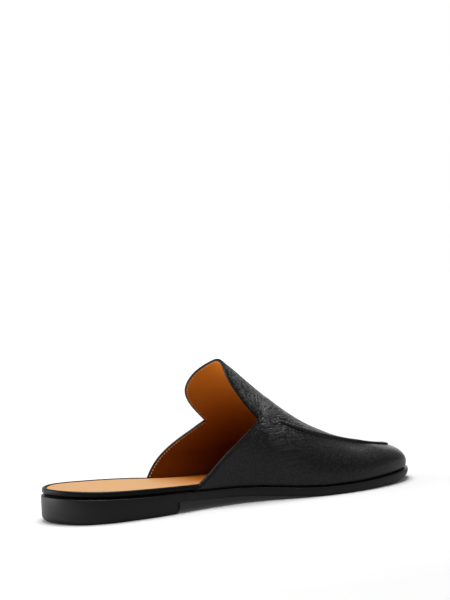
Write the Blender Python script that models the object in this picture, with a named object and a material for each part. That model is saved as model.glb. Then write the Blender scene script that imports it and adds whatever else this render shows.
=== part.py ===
"""A backless loafer for the left foot, standing empty on its sole.

Sizes are in millimetres and are turned to metres as each mesh is made. A point is given by its
station, measured forward from the back of the heel, its side, minus to the medial side and plus to
the lateral side, and its height over the floor. A turn is an angle round the shoe's outline: 0 at
the tip of the toe, minus on the medial side, plus on the lateral side, a half turn at the heel.
"""

import math
from collections import namedtuple

import bmesh
import bpy
import numpy as np

MM = 0.001
GAP = 0.3  # between pieces that meet
HEEL_GAP = 0.4  # between the heel and the outsole's curved underside

LENGTH = 292.0  # of the outsole

EDGE_ROUNDING = 0.8  # of the outsole's edge
SEAT_ROUNDING = 0.1  # of its lower edge over the heel
ROUNDING_RUN_OUT = 20.0  # length over which the lower edge changes from one to the other
LEDGE_SIDE = 1.6  # how far the outsole's edge stands out past the upper, along the sides
LEDGE_TOE = 1.8  # and at the toe
LEDGE_WIDENS = (200.0, 280.0)  # stations between which it changes

HEEL_BREAST = 91.0  # station of the heel's front face
HEEL_CORNER = (11.5, 14.3)  # length and width cut off the heel's medial front corner
HEEL_TAPER = 0.5  # how much narrower the heel is at the floor

INSOLE_THICK = 4.4
INSOLE_ROUNDING = 0.8
INSOLE_INSET_HEEL = 3.8  # from the outsole's edge, inside the rand
INSOLE_INSET_FRONT = 5.0  # from the outsole's edge, inside the upper
INSOLE_NARROWING = 25.0  # length over which the inset grows, behind the upper

RAND_INSET = 1.3  # from the outsole's edge to the rand's outer face
RAND_THICK = 2.2
RAND_HEIGHT = 4.1
RAND_ROUNDING = 1.4  # radius of its upper outer edge
RAND_GROOVE = (1.2, 1.4)  # depth and height of the groove it leaves over the outsole
RAND_END_GAP = 1.0  # from the rand's ends to the upper's back edges

WALL = 2.2  # upper: grain leather, backing and lining together
BULGE = 1.8  # how far the upper's sides swell past their straight line
BULGE_HEIGHT = 30.0  # degrees up the rib where that swelling is fullest

SEAM_HALF_WIDTH = 1.5  # of the apron's raised seam
SEAM_HEIGHT = 1.5
SEAM_START = 170.0  # station where the seam rises out of the vamp
SEAM_FADE = 8.0
APRON_LIFT = 0.3  # how far the apron lies over the vamp inside its seam

TOE_BLEND_TURN = 70.0  # degrees: ahead of it the upper's ribs begin to fan
TOE_POLE_TURN = 20.0  # degrees: ahead of it they all rise to one point of the ridge
TOE_POLE_STATION = 262.0

SoleSection = namedtuple("SoleSection", "station medial lateral medial_under lateral_under thick")
SOLE = (
    SoleSection(0, 0.0, 0.0, 11.8, 11.8, 5.4),
    SoleSection(5, 15.6, 15.2, 11.5, 11.5, 5.4),
    SoleSection(18, 28.4, 27.2, 10.8, 10.8, 5.4),
    SoleSection(43, 34.5, 33.1, 9.4, 9.4, 5.4),
    SoleSection(72, 33.6, 34.4, 8.1, 7.6, 5.4),
    SoleSection(105, 29.0, 35.4, 6.3, 4.6, 5.6),
    SoleSection(146, 29.2, 41.4, 4.0, 1.9, 5.9),
    SoleSection(182, 40.0, 50.4, 0.8, 0.3, 6.0),
    SoleSection(200, 43.3, 50.7, -0.1, -0.1, 6.0),
    SoleSection(220, 43.9, 48.3, -0.1, -0.1, 6.0),
    SoleSection(240, 41.3, 42.9, 0.4, 0.4, 6.1),
    SoleSection(261, 35.1, 34.2, 1.3, 1.3, 6.0),
    SoleSection(278, 26.0, 23.6, 2.4, 2.4, 5.6),
    SoleSection(288, 15.2, 10.6, 3.1, 3.1, 5.2),
    SoleSection(292, 4.0, -4.0, 3.4, 3.4, 5.0),
)

# The ridge is the top line of the upper. Behind the tab it only guides the quarters' lean.
# fullness is the power of the rib's curve, 2 for an ellipse; apron is the seam's place on the
# way from the ridge, 0, to the sole, 1, seen from above.
RidgeSection = namedtuple("RidgeSection", "station height side fullness apron")
RIDGE = (
    RidgeSection(80, 112.0, 4.0, 2.0, 0.72),
    RidgeSection(115, 108.0, 3.5, 2.0, 0.72),
    RidgeSection(138, 97.6, 3.0, 2.0, 0.72),
    RidgeSection(157, 81.8, 2.5, 2.0, 0.72),
    RidgeSection(172, 68.6, 2.0, 2.1, 0.71),
    RidgeSection(187, 56.8, 1.0, 2.15, 0.67),
    RidgeSection(202, 47.2, 0.0, 2.2, 0.605),
    RidgeSection(217, 40.2, -1.0, 2.3, 0.54),
    RidgeSection(232, 34.8, -2.0, 2.35, 0.49),
    RidgeSection(247, 30.5, -3.3, 2.35, 0.462),
    RidgeSection(262, 26.8, -4.3, 2.25, 0.45),
    RidgeSection(292, 20.0, -5.0, 2.0, 0.45),
)

# The topline, as stations at shares of the way up: on the quarters from the sole to the notch,
# and on the tab from the notch to the ridge.
ToplineRow = namedtuple("ToplineRow", "share medial lateral")
QUARTER_EDGE = (
    ToplineRow(0.00, 97.5, 91.0),
    ToplineRow(0.15, 109.0, 95.3),
    ToplineRow(0.30, 120.0, 101.0),
    ToplineRow(0.50, 133.0, 112.8),
    ToplineRow(0.75, 145.0, 130.8),
    ToplineRow(1.00, 153.0, 143.5),
)
TAB_EDGE = (
    ToplineRow(0.00, 153.0, 143.5),
    ToplineRow(0.05, 149.0, 135.0),
    ToplineRow(0.12, 144.5, 127.5),
    ToplineRow(0.20, 140.8, 124.2),
    ToplineRow(0.30, 137.7, 124.8),
    ToplineRow(0.45, 136.0, 129.0),
    ToplineRow(0.65, 136.8, 134.7),
    ToplineRow(0.85, 138.0, 137.4),
    ToplineRow(1.00, 138.0, 138.0),
)
NOTCH_MEDIAL = 38.5  # degrees up the rib
NOTCH_LATERAL = 31.0
QUARTER_MEDIAL = QUARTER_EDGE[0].medial  # stations where the upper's back edges meet the sole
QUARTER_LATERAL = QUARTER_EDGE[0].lateral

OUTLINE_STEPS = 84
RAND_STEPS = 34
UPPER_STEPS = 72
ZONE_COLUMNS = (6, 3, 1, 1, 1, 5)  # columns of the upper between the landmarks of a rib


def smooth(knots, values):
    """A natural cubic spline through a few values, as a function."""
    knots = np.array(knots, float)
    values = np.array(values, float)
    gaps = np.diff(knots)
    slopes = np.diff(values) / gaps
    system = np.eye(len(knots))
    change = np.zeros(len(knots))
    for i in range(1, len(knots) - 1):
        system[i, i - 1 : i + 2] = gaps[i - 1], 2 * (gaps[i - 1] + gaps[i]), gaps[i]
        change[i] = 6 * (slopes[i] - slopes[i - 1])
    bend = np.linalg.solve(system, change)

    def value(at):
        i = min(max(np.searchsorted(knots, at) - 1, 0), len(gaps) - 1)
        left = at - knots[i]
        right = knots[i + 1] - at
        gap = gaps[i]
        curved = (bend[i] * right**3 + bend[i + 1] * left**3) / (6 * gap)
        line_left = (values[i] / gap - bend[i] * gap / 6) * right
        line_right = (values[i + 1] / gap - bend[i + 1] * gap / 6) * left
        return curved + line_left + line_right

    return value


def ease(x):
    """0 up to x = 0, 1 from x = 1, and a soft step between."""
    x = min(max(x, 0.0), 1.0)
    return x * x * (3.0 - 2.0 * x)


def turn_of(station):
    return math.acos(min(max(2.0 * station / LENGTH - 1.0, -1.0), 1.0))


def station_of(turn):
    return LENGTH / 2.0 * (1.0 + math.cos(turn))


def round_the_shoe(medial, lateral):
    """A closed smooth curve through one value of each side of each sole section, by turn."""
    turns = [-turn_of(row.station) for row in SOLE] + [turn_of(row.station) for row in SOLE[-2::-1]]
    values = [medial(row) for row in SOLE] + [lateral(row) for row in SOLE[-2::-1]]
    lap = 3
    full = 2.0 * math.pi
    turns = [t - full for t in turns[-1 - lap : -1]] + turns + [t + full for t in turns[1 : 1 + lap]]
    values = values[-1 - lap : -1] + values + values[1 : 1 + lap]
    once_round = smooth(turns, values)
    return lambda turn: once_round((turn + math.pi) % full - math.pi)


edge_side = round_the_shoe(lambda row: -row.medial, lambda row: row.lateral)
edge_under = round_the_shoe(lambda row: row.medial_under, lambda row: row.lateral_under)
edge_thick = round_the_shoe(lambda row: row.thick, lambda row: row.thick)

ridge_height = smooth([row.station for row in RIDGE], [row.height for row in RIDGE])
ridge_side = smooth([row.station for row in RIDGE], [row.side for row in RIDGE])
rib_fullness = smooth([row.station for row in RIDGE], [row.fullness for row in RIDGE])
apron_share = smooth([row.station for row in RIDGE], [row.apron for row in RIDGE])


def sole_under(turn):
    """Height of the outsole's underside at its edge: the tread is pressed flat on the floor."""
    return max(edge_under(turn), 0.0)


def sole_top(turn):
    return sole_under(turn) + edge_thick(turn)


def edge_point(turn, inset=0.0):
    """Station and side of a point on the outsole's outline, or set in square to it."""
    step = 1e-3
    here = np.array([station_of(turn), edge_side(turn)])
    ahead = np.array([station_of(turn + step), edge_side(turn + step)])
    behind = np.array([station_of(turn - step), edge_side(turn - step)])
    along = (ahead - behind) / np.linalg.norm(ahead - behind)
    return here + inset * np.array([-along[1], along[0]])


def edge_3d(turn, inset, height):
    return np.array([*edge_point(turn, inset), height])


def ridge_station(turn):
    """Where on the ridge the rib from this turn ends: level with its foot, or fanned at the toe."""
    blend = math.radians(TOE_BLEND_TURN)
    pole = math.radians(TOE_POLE_TURN)
    turn = abs(turn)
    if turn >= blend:
        return station_of(turn)
    if turn <= pole:
        return TOE_POLE_STATION
    span = blend - pole
    x = (turn - pole) / span
    slope = -LENGTH / 2.0 * math.sin(blend) * span
    rise = station_of(blend) - TOE_POLE_STATION
    return TOE_POLE_STATION + rise * (3 * x**2 - 2 * x**3) + slope * (x**3 - x**2)


def ledge(turn):
    start, end = LEDGE_WIDENS
    return LEDGE_SIDE + (LEDGE_TOE - LEDGE_SIDE) * ease((station_of(turn) - start) / (end - start))


def rib_point(turn, angle):
    """A point on the last: a rib rises from the sole's edge at angle 0 to the ridge at 90 degrees."""
    foot = edge_3d(turn, ledge(turn), sole_top(turn) + GAP)
    top_station = ridge_station(turn)
    top = np.array([top_station, ridge_side(top_station), ridge_height(top_station)])
    power = 2.0 / rib_fullness(station_of(turn))
    rise = max(math.sin(angle), 0.0) ** power
    reach = 1.0 - max(math.cos(angle), 0.0) ** power
    outward = foot[:2] - edge_point(turn, ledge(turn) + 1.0)
    fullest = math.radians(BULGE_HEIGHT)
    shape = math.sin(angle) * max(math.cos(angle), 0.0) ** 3
    swell = BULGE * shape / (math.sin(fullest) * math.cos(fullest) ** 3)
    point = foot + (top - foot) * np.array([reach, reach, rise])
    point[:2] += swell * outward
    return point


def ridge_normal(station):
    """The upward normal of the ridge line, square to the shoe's side direction."""
    slope = ridge_height(station + 0.5) - ridge_height(station - 0.5)
    return np.array([-slope, 0.0, 1.0]) / math.hypot(slope, 1.0)


def rib_normal(turn, angle):
    """The outward normal of the last's surface."""
    lowest, highest = math.radians(1.5), math.radians(89.9)
    if angle > highest:
        return ridge_normal(ridge_station(turn))
    angle = max(angle, lowest)
    step = 1e-3
    along = rib_point(turn + step, angle) - rib_point(turn - step, angle)
    up = rib_point(turn, angle + step) - rib_point(turn, angle - step)
    normal = np.cross(along, up)
    return normal / np.linalg.norm(normal)


def seam_angle(turn):
    """How far up its rib the apron's seam lies."""
    station = station_of(turn)
    return math.acos(apron_share(station) ** (rib_fullness(station) / 2.0))


def rib_landmarks(turn):
    """Angles up a rib of the sole, the notch line, the seam's four edges and the ridge."""
    sides = (turn + math.pi / 2.0) / math.pi
    notch = math.radians(NOTCH_MEDIAL + (NOTCH_LATERAL - NOTCH_MEDIAL) * ease(sides))
    seam = seam_angle(turn)
    step = 1e-3
    stretch = np.linalg.norm(rib_point(turn, seam + step) - rib_point(turn, seam)) / step
    half = SEAM_HALF_WIDTH / stretch
    return (0.0, notch, seam - half, seam - half / 2, seam + half / 2, seam + half, math.pi / 2.0)


SEAM_RELIEF = (0.0, 0.0, 0.0, SEAM_HEIGHT, SEAM_HEIGHT, APRON_LIFT, APRON_LIFT)


def seam_relief(turn, column):
    """How far the seam and the apron stand out of the last, by column."""
    start = (station_of(turn) - SEAM_START + SEAM_FADE / 2.0) / SEAM_FADE
    return ease(start) * np.interp(column, range(len(SEAM_RELIEF)), SEAM_RELIEF)


def topline_station(column, side):
    """Station of the topline at a column, on the medial side, -1, or the lateral side, +1."""
    field = "medial" if side < 0 else "lateral"
    if column <= 1.0:
        rows, share = QUARTER_EDGE, column
    else:
        notch = rib_landmarks(side * math.radians(90.0))[1]
        angle = np.interp(column, range(7), rib_landmarks(side * math.radians(90.0)))
        rows, share = TAB_EDGE, (angle - notch) / (math.pi / 2.0 - notch)
    return smooth([row.share for row in rows], [getattr(row, field) for row in rows])(share)


def upper_columns():
    return [
        zone + k / steps for zone, steps in enumerate(ZONE_COLUMNS) for k in range(steps)
    ] + [float(len(ZONE_COLUMNS))]


def upper_points():
    """The outer and inner faces of the upper: a column runs from topline to topline round the toe."""
    outer, inner = [], []
    for column in upper_columns():
        start = -turn_of(topline_station(column, -1))
        end = turn_of(topline_station(column, +1))
        outer_line, inner_line = [], []
        for turn in np.linspace(start, end, UPPER_STEPS + 1):
            angle = np.interp(column, range(7), rib_landmarks(turn))
            point = rib_point(turn, angle)
            normal = rib_normal(turn, angle)
            outer_line.append(point + seam_relief(turn, column) * normal)
            inner_line.append(point - WALL * normal)
        outer.append(outer_line)
        inner.append(inner_line)
    return np.array(outer), np.array(inner)


def sole_ring(inset, height):
    """A closed ring round the outsole's outline: inset and height are functions of the turn."""
    turns = np.linspace(-math.pi, math.pi, OUTLINE_STEPS, endpoint=False)
    return [edge_3d(turn, inset(turn), height(turn)) for turn in turns]


SIDE_SHIFT = (
    max(edge_side(t) for t in np.linspace(0, math.pi, 400))
    + min(edge_side(t) for t in np.linspace(-math.pi, 0, 400))
) / 2.0


def placed(point):
    """From station, side and height in millimetres to the shoe's own frame in metres."""
    return (np.array(point) - (LENGTH / 2.0, SIDE_SHIFT, 0.0)) * MM


def new_object(name, mesh, material):
    mesh.materials.append(material)
    mesh.shade_smooth()
    mesh.set_sharp_from_angle(angle=math.radians(40))
    made = bpy.data.objects.new(name, mesh)
    bpy.context.scene.collection.objects.link(made)
    return made


def mesh_of(name, points, faces):
    """A closed mesh of these points and faces, with points in one place joined."""
    built = bmesh.new()
    verts = [built.verts.new(placed(point)) for point in points]
    for face in faces:
        built.faces.new([verts[i] for i in face])
    bmesh.ops.remove_doubles(built, verts=built.verts, dist=2e-6)
    bmesh.ops.dissolve_degenerate(built, edges=built.edges, dist=1e-6)
    bmesh.ops.triangulate(built, faces=built.faces)
    bmesh.ops.recalc_face_normals(built, faces=built.faces)
    mesh = bpy.data.meshes.new(name)
    built.to_mesh(mesh)
    built.free()
    return mesh


def across(ring_start, count):
    """Faces that close a ring with strips from one side of the shoe to the other."""
    faces = []
    near, far = 0, count
    while near + 1 < far:
        corners = [near, near + 1, far - 1, far % count]
        faces.append([ring_start + i for i in dict.fromkeys(corners)])
        near, far = near + 1, far - 1
    return [face for face in faces if len(face) > 2]


def stacked(name, rings):
    """A closed solid through rings of points, each closed across at the first and the last."""
    count = len(rings[0])
    points = [point for ring in rings for point in ring]
    faces = across(0, count) + across((len(rings) - 1) * count, count)
    for level in range(len(rings) - 1):
        low, high = level * count, (level + 1) * count
        for i in range(count):
            j = (i + 1) % count
            faces.append([low + i, low + j, high + j, high + i])
    return mesh_of(name, points, faces)


def swept(name, sections):
    """A closed solid through open-ended sections that all have the same corners."""
    count = len(sections[0])
    points = [point for section in sections for point in section]
    last = (len(sections) - 1) * count
    faces = [list(range(count)), list(range(last, last + count))]
    for level in range(len(sections) - 1):
        low, high = level * count, (level + 1) * count
        for i in range(count):
            j = (i + 1) % count
            faces.append([low + i, low + j, high + j, high + i])
    return mesh_of(name, points, faces)


def leather(name, color, roughness):
    material = bpy.data.materials.new(name)
    material.use_nodes = True
    shader = material.node_tree.nodes["Principled BSDF"]
    shader.inputs["Base Color"].default_value = (*color, 1.0)
    shader.inputs["Roughness"].default_value = roughness
    shader.inputs["Metallic"].default_value = 0.0
    material.diffuse_color = (*color, 1.0)
    return material


def make_outsole():
    def rounding_under(turn):
        ahead = ease((station_of(turn) - HEEL_BREAST) / ROUNDING_RUN_OUT)
        return SEAT_ROUNDING + (EDGE_ROUNDING - SEAT_ROUNDING) * ahead

    rings = [
        sole_ring(lambda t: EDGE_ROUNDING, sole_top),
        sole_ring(lambda t: 0.0, lambda t: sole_top(t) - EDGE_ROUNDING),
        sole_ring(lambda t: 0.0, lambda t: sole_under(t) + rounding_under(t)),
        sole_ring(rounding_under, sole_under),
    ]
    material = leather("black sole leather", (0.012, 0.011, 0.011), 0.35)
    return new_object("outsole", stacked("outsole", rings), material)


def make_heel():
    """A block under the outsole, its medial front corner cut away across."""
    cut_length, cut_width = HEEL_CORNER
    breast = turn_of(HEEL_BREAST)
    corner = turn_of(HEEL_BREAST - cut_length)
    steps = OUTLINE_STEPS // 3
    turns = list(np.linspace(-math.pi, -corner, steps))
    lateral = list(np.linspace(math.pi, breast, steps + 1)[1:])

    def ring(inset, height):
        medial_points = [edge_3d(t, inset, height(t)) for t in turns]
        lateral_points = [edge_3d(t, inset, height(t)) for t in lateral]
        cut = edge_3d(-breast, inset, height(-breast)) + (0.0, cut_width, 0.0)
        return medial_points + [cut] + lateral_points[::-1]

    rings = [
        ring(SEAT_ROUNDING, lambda t: sole_under(t) - HEEL_GAP),
        ring(HEEL_TAPER, lambda t: EDGE_ROUNDING / 2.0),
        ring(HEEL_TAPER + EDGE_ROUNDING / 2.0, lambda t: 0.0),
    ]
    material = leather("black heel", (0.011, 0.011, 0.011), 0.35)
    return new_object("heel", stacked("heel", rings), material)


def insole_inset(turn):
    ahead = ease((station_of(turn) - QUARTER_LATERAL) / INSOLE_NARROWING + 1.0)
    return INSOLE_INSET_HEEL + (INSOLE_INSET_FRONT - INSOLE_INSET_HEEL) * ahead


def make_insole():
    def top(turn):
        return sole_top(turn) + GAP + INSOLE_THICK

    rings = [
        sole_ring(insole_inset, lambda t: sole_top(t) + GAP),
        sole_ring(insole_inset, lambda t: top(t) - INSOLE_ROUNDING),
        sole_ring(lambda t: insole_inset(t) + INSOLE_ROUNDING, top),
    ]
    material = leather("tan insole leather", (0.72, 0.38, 0.15), 0.55)
    return new_object("insole", stacked("insole", rings), material)


def make_rand():
    """The binding of the footbed's edge, from the medial quarter round the heel to the lateral."""
    medial_end = -turn_of(QUARTER_MEDIAL - RAND_END_GAP)
    lateral_end = turn_of(QUARTER_LATERAL - RAND_END_GAP) - 2.0 * math.pi
    outer, inner = RAND_INSET, RAND_INSET + RAND_THICK
    groove_depth, groove_height = RAND_GROOVE
    sections = []
    for turn in np.linspace(medial_end, lateral_end, RAND_STEPS):
        low = sole_top(turn) + GAP
        high = low + RAND_HEIGHT
        section = [edge_3d(turn, inner, high), edge_3d(turn, inner, low)]
        section.append(edge_3d(turn, outer + groove_depth, low))
        section.append(edge_3d(turn, outer, low + groove_height))
        for angle in np.linspace(0.0, math.pi / 2.0, 4):
            inset = outer + RAND_ROUNDING * (1.0 - math.cos(angle))
            section.append(edge_3d(turn, inset, high - RAND_ROUNDING * (1.0 - math.sin(angle))))
        sections.append(section)
    material = leather("black rand leather", (0.012, 0.012, 0.012), 0.4)
    return new_object("rand", swept("rand", sections), material)


def make_upper():
    outer, inner = upper_points()
    columns, rows = outer.shape[:2]
    points = [*outer.reshape(-1, 3), *inner.reshape(-1, 3)]
    inside = columns * rows
    faces = []
    for c in range(columns - 1):
        for r in range(rows - 1):
            a, b = c * rows + r, c * rows + r + 1
            d, e = a + rows, b + rows
            faces.append([a, b, e, d])
            faces.append([inside + i for i in (a, d, e, b)])
    for r in range(rows - 1):
        faces.append([r, inside + r, inside + r + 1, r + 1])
    for c in range(columns - 1):
        for r in (0, rows - 1):
            a, d = c * rows + r, (c + 1) * rows + r
            faces.append([a, d, inside + d, inside + a])
    material = leather("black pebbled calf", (0.012, 0.012, 0.013), 0.42)
    return new_object("upper", mesh_of("upper", points, faces), material)


def main():
    for old in list(bpy.data.objects):
        bpy.data.objects.remove(old)
    make_outsole()
    make_heel()
    make_insole()
    make_rand()
    make_upper()


main()
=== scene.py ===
"""The looks of a left backless loafer: pebbled black calf, tan lining, black sole and low heel.

Sizes are in millimetres and are turned to metres as each mesh is made. A point is given by its
station, measured forward from the back of the heel, its side, minus to the medial side and plus to
the lateral side, and its height over the floor. A turn is an angle round the shoe's outline: 0 at
the tip of the toe, minus on the medial side, plus on the lateral side, a half turn at the heel.
The tables of the last are those of the solids, refined a little at the toe, along the ridge and at
the heel's front, so each piece stands in the place of its solid.
"""

import math
from collections import namedtuple

import bmesh
import bpy
import numpy as np
from mathutils import Matrix, Vector


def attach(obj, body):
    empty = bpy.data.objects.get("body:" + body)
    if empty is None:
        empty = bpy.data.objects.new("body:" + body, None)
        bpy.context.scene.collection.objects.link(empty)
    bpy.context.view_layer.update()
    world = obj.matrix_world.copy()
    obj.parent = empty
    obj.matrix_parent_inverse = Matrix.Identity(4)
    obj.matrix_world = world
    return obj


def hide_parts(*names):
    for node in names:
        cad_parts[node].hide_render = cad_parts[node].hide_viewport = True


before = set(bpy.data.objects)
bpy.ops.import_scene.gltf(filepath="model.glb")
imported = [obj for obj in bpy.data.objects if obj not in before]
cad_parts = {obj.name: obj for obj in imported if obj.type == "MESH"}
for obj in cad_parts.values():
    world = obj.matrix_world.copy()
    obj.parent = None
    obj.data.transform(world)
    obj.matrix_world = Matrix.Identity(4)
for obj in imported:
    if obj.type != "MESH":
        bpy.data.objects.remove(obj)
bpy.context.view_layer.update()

MM = 0.001
GAP = 0.3  # between the outsole and what stands on it
LENGTH = 292.0  # of the outsole

SoleSection = namedtuple("SoleSection", "station medial lateral medial_under lateral_under thick")
SOLE = [SoleSection(*row) for row in (
    (0, 0.0, 0.0, 11.8, 11.8, 5.4),
    (5, 15.6, 15.2, 11.5, 11.5, 5.4),
    (18, 28.4, 27.2, 10.8, 10.8, 5.4),
    (43, 34.5, 33.1, 9.4, 9.4, 5.4),
    (72, 33.6, 34.4, 8.1, 7.6, 5.4),
    (105, 29.0, 35.4, 6.3, 4.6, 5.6),
    (146, 29.2, 41.4, 4.0, 1.9, 5.9),
    (182, 40.0, 50.4, 0.8, 0.3, 6.0),
    (200, 43.3, 50.7, -0.1, -0.1, 6.0),
    (220, 43.9, 48.3, -0.1, -0.1, 6.0),
    (240, 41.3, 42.9, 0.4, 0.4, 6.1),
    (261, 35.1, 34.2, 0.8, 0.8, 6.5),
    (278, 26.0, 23.6, 2.9, 2.9, 5.1),
    (288, 15.2, 10.6, 4.8, 4.8, 3.5),
    (292, 4.0, -4.0, 5.4, 5.4, 3.0),
)]
EDGE_ROUNDING = 0.8  # of the outsole's edge
TOE_EDGE_ROUNDING = 1.0  # and how much more of its lower edge at the toe
EDGE_ROUNDING_STARTS = 20.0  # length ahead of the heel over which the lower edge gets round
LEDGE = (1.6, 1.8)  # how far the edge stands out past the upper, along the sides and at the toe
FRONT = (200.0, 280.0)  # stations between which the ledge and the edge's rounding change

HEEL_BREAST = 93.0  # station of the heel's front face
HEEL_CORNER = (11.7, 16.0)  # length and width cut off the heel's medial front corner
HEEL_ROUNDING = (0.8, 4.5)  # of its lower edge along the sides, and at the back
HEEL_BACK = 16.0  # length from the back over which that rounding changes
HEEL_STEPS = 120  # points along each side

INSOLE_THICK = 4.4
INSOLE_INSET = (3.8, 5.0)  # from the outsole's edge, inside the rand and inside the upper
INSOLE_NARROWING = 25.0  # length over which the inset grows, behind the upper
INSOLE_ROUNDING = 0.9  # of its upper edge
INSOLE_DISH = 0.5  # how far its middle lies below its edge
RAND_INSET = 0.8  # from the outsole's edge to the rand's outer face
RAND_THICK = 2.2
RAND_HEIGHT = 4.8
# Corners up its outer side: how far in from its outer face, and how high.
RAND_FACE = ((1.5, 0.0), (1.25, 0.8), (0.6, 1.35), (0.1, 1.75), (0.0, 2.2), (0.0, 2.9))
RAND_ROUNDING = (1.5, 1.2)  # width and height of its rolled upper edge
RAND_STEPS = 240
RAND_OVERLAP = (13.0, 6.0)  # how far its medial and lateral ends run in under the upper
RAND_END = (2.2, 12.0)  # how much deeper those ends lie, and over what length

RidgeSection = namedtuple("RidgeSection", "station height side fullness apron")
RIDGE = [RidgeSection(*row) for row in (
    (80, 112.6, 4.0, 2.0, 0.72),
    (115, 108.6, 3.5, 2.0, 0.72),
    (138, 98.2, 3.0, 2.0, 0.72),
    (157, 82.4, 2.5, 2.0, 0.72),
    (172, 69.2, 2.0, 2.1, 0.71),
    (187, 57.4, 1.0, 2.15, 0.67),
    (202, 47.9, 0.0, 2.2, 0.605),
    (217, 40.7, -1.0, 2.3, 0.54),
    (232, 34.5, -3.0, 2.45, 0.47),
    (247, 30.7, -5.5, 2.6, 0.415),
    (262, 27.7, -8.0, 2.6, 0.39),
    (292, 21.6, -9.0, 1.9, 0.39),
)]
ToplineRow = namedtuple("ToplineRow", "share medial lateral")
QUARTER_EDGE = [ToplineRow(*row) for row in (
    (0.00, 96.0, 91.0),
    (0.15, 109.0, 95.3),
    (0.30, 120.0, 101.0),
    (0.50, 133.0, 112.8),
    (0.75, 145.0, 130.8),
    (1.00, 153.0, 143.5),
)]
TAB_EDGE = [ToplineRow(*row) for row in (
    (0.00, 153.0, 143.5),
    (0.05, 149.0, 135.0),
    (0.12, 144.5, 127.5),
    (0.20, 140.8, 124.2),
    (0.30, 137.7, 124.8),
    (0.45, 136.0, 129.0),
    (0.65, 136.8, 134.7),
    (0.85, 138.0, 137.4),
    (1.00, 138.0, 138.0),
)]
NOTCHES = (38.5, 31.0)  # degrees up the rib, medial and lateral
TOE_BLEND_TURN = 70.0  # degrees: ahead of it the upper's ribs begin to fan
TOE_POLE_TURN = 20.0  # degrees: ahead of it they all rise to one point of the ridge
TOE_POLE_STATION = 262.0
TOE_SLACK = 0.7  # how much less full the toe's lateral ribs are
TOE_SLACK_STATIONS = (215.0, 250.0)  # stations between which that sets in
TOE_SLACK_TURN = 0.9  # and over which turn from the tip

WALL = 1.9  # the upper's whole wall
CALF = 1.15  # of which this much is calf and backing, and the rest the lining
BULGE = 1.8  # how far the upper's sides swell past their straight line
BULGE_HEIGHT = 30.0  # degrees up the rib where that swelling is fullest
FOOT_REACH = 0.25  # how far the calf's foot reaches down to the outsole
TUCK = (1.0, 2.4)  # how far the calf turns in over the outsole, and the height of that turn
THINNEST = 0.2  # of the calf, under its deepest groove
LINING_GAP = 0.05  # between the calf and the lining
NORMAL_FROM = (1.5, 89.9)  # degrees up the rib between which its own normal is sound

SEAM_HALF_WIDTH = 1.15  # of the apron's raised seam
SEAM_FLANK = 0.15  # how much wider it is at its foot
SEAM_FULLNESS = 0.6  # of its section: the less, the fuller
SEAM_HEIGHT = (0.8, 1.2)  # behind and at the toe
SEAM_LATERAL = (0.5, 0.6)  # by what part it is lower on the toe's lateral side, past which turn
SHOULDER = (0.8, 9.0)  # how far the vamp stands up to the seam, and over what width
APRON_SWELL = 10.0  # over what width the apron rises to meet it
HOLLOW = (1.3, 10.0)  # how far the vamp falls in below that, and how far down it is deepest
SHOULDER_STARTS = 20.0  # length past the seam's start over which these three set in
SHOULDER_ENDS = (236.0, 258.0)  # stations between which they die out
SEAM_CHANGES = (215.0, 245.0)  # stations between which the seam takes its form at the toe
SEAM_START = 170.0  # station where the seam rises out of the vamp
SEAM_FADE = 3.0  # and over what length
SEAM_STITCH = 2.8  # from one stitch of the seam to the next
GROOVE = (1.65, 0.7, 0.6)  # the seam's grooves: from its middle, half width and depth
UPPER_GROOVE = (1.5, 0.15, 12.0)  # the upper one's depth in lower ones, first and past a length
PIT = 0.35  # how much deeper the lower one is at each stitch
DARKENED = (1.1, 1.6)  # how dark the grooves are painted, as painted shade, between the stitches and at them
PUCKER = 0.22  # depth of the calf's small folds at those stitches
PUCKER_REACH = 6.0  # how far down the vamp they run
SEAM_HIGHLIGHT = (0.3, 0.45, 0.7)  # the seam's top painted bright, as painted highlight: from its middle, half width, loss at a stitch
APRON_LIFT = (0.25, -0.7)  # how far the apron lies over the vamp inside its seam, and at the toe

CREASE_STEPS = 14
CREASE_END = 0.03  # a crease's depth runs as a half wave, less this share of it at each end
CREASE_REACH = 7.0  # widths from a crease past which it leaves no trace
CREASE_RIDGE = (0.45, 1.9, 0.8)  # beside a crease: height in depths, place and spread in widths
# Creases of the calf, as stations and columns of their two ends. A column counts the landmarks up
# a rib: 0 the sole, 1 the notch, 2 to 5 across the seam, 6 the ridge.
Crease = namedtuple("Crease", "side start start_column end end_column depth width")
CREASES = [Crease(*row) for row in (
    (-1, 156.5, 1.00, 170.0, 1.40, 0.37, 0.9),
    (-1, 157.0, 0.95, 174.0, 1.12, 0.37, 0.9),
    (-1, 156.0, 0.88, 172.0, 0.88, 0.31, 0.9),
    (-1, 158.0, 1.25, 165.0, 1.95, 0.34, 0.9),
    (-1, 155.0, 1.20, 157.0, 2.20, 0.31, 0.8),
    (-1, 163.0, 1.40, 178.0, 1.60, 0.16, 0.9),
    (-1, 166.0, 1.18, 184.0, 1.45, 0.31, 1.0),
    (-1, 176.0, 1.35, 190.0, 1.62, 0.24, 0.9),
    (-1, 162.0, 0.80, 180.0, 0.72, 0.20, 1.0),
    (-1, 150.5, 2.20, 152.0, 4.80, 0.24, 0.8),
    (-1, 146.0, 2.00, 146.5, 4.00, 0.20, 0.8),
    (1, 147.0, 1.00, 162.0, 1.42, 0.37, 0.9),
    (1, 147.5, 0.94, 166.0, 1.10, 0.34, 0.9),
    (1, 147.0, 0.86, 163.0, 0.84, 0.31, 0.9),
    (1, 148.0, 1.25, 156.0, 1.95, 0.34, 0.9),
    (1, 152.0, 1.55, 168.0, 1.80, 0.27, 0.9),
    (1, 158.0, 1.20, 176.0, 1.48, 0.27, 1.0),
    (1, 144.0, 1.20, 147.0, 2.40, 0.27, 0.8),
)]

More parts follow.
